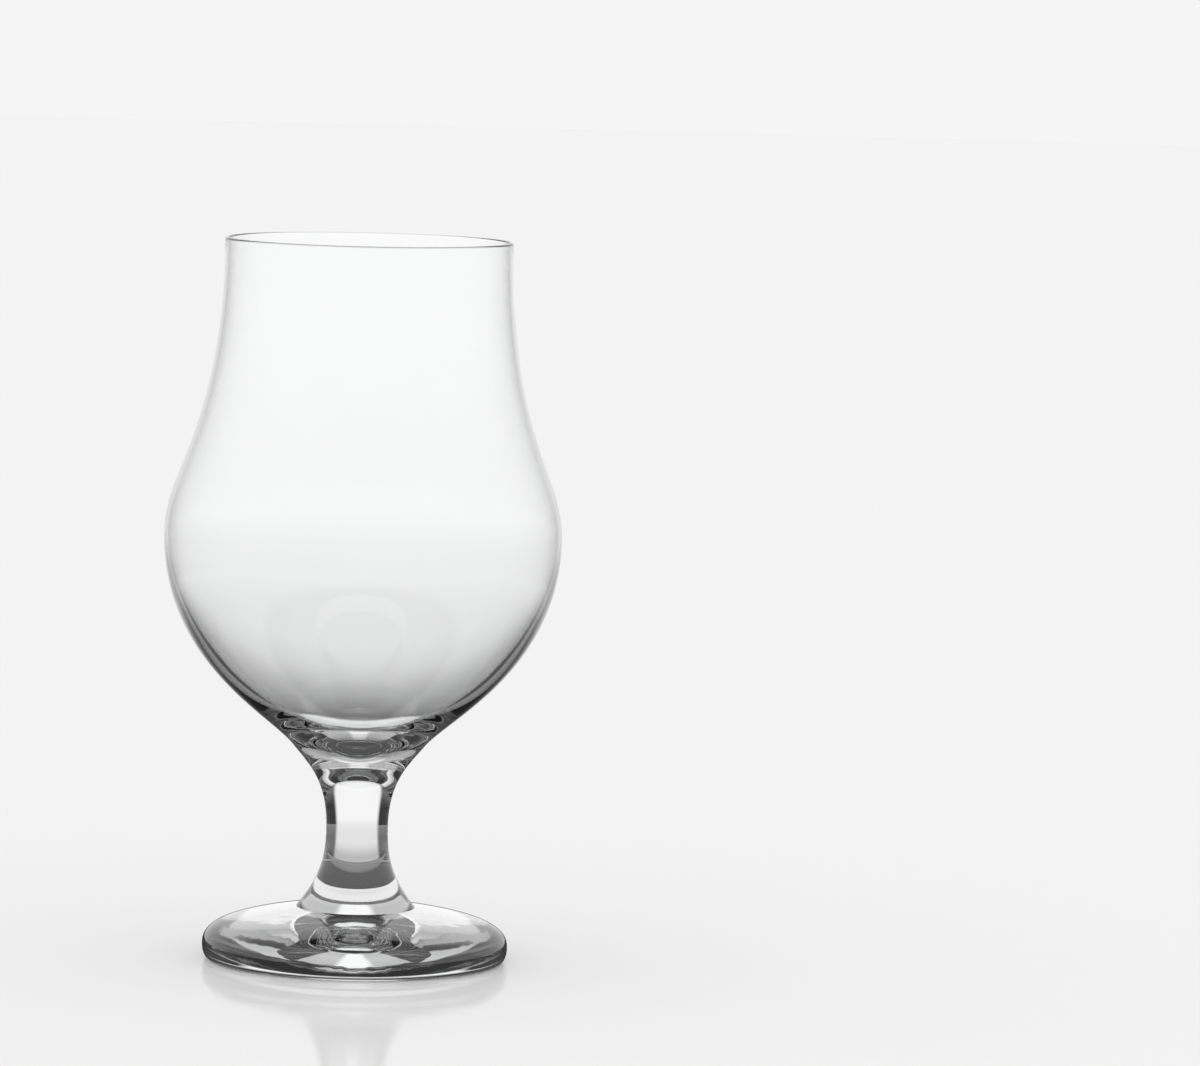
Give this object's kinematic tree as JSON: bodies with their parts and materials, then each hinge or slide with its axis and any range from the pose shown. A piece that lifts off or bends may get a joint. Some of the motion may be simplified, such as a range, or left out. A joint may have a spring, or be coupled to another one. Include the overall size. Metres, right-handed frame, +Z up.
{
  "type": "tulip beer glass",
  "caption": "Stemmed tulip beer glass of clear glass: a round-bellied bowl with a drawn-in neck, on a short waisted stem and a thick domed foot that it stands on.",
  "frame": {"origin": "middle of the foot, on the plane of the ring that it rests on", "axes": "+Z up the axis of the glass, towards the rim; the glass is the same all round, so +X is any way across it"},
  "size_m": [0.0908, 0.0908, 0.165],
  "materials": {
    "clear_glass": "clear, fire-polished"
  },
  "bodies": {
    "root": {"bowl": "clear_glass", "stem": "clear_glass", "foot": "clear_glass"}
  },
  "joints": []
}
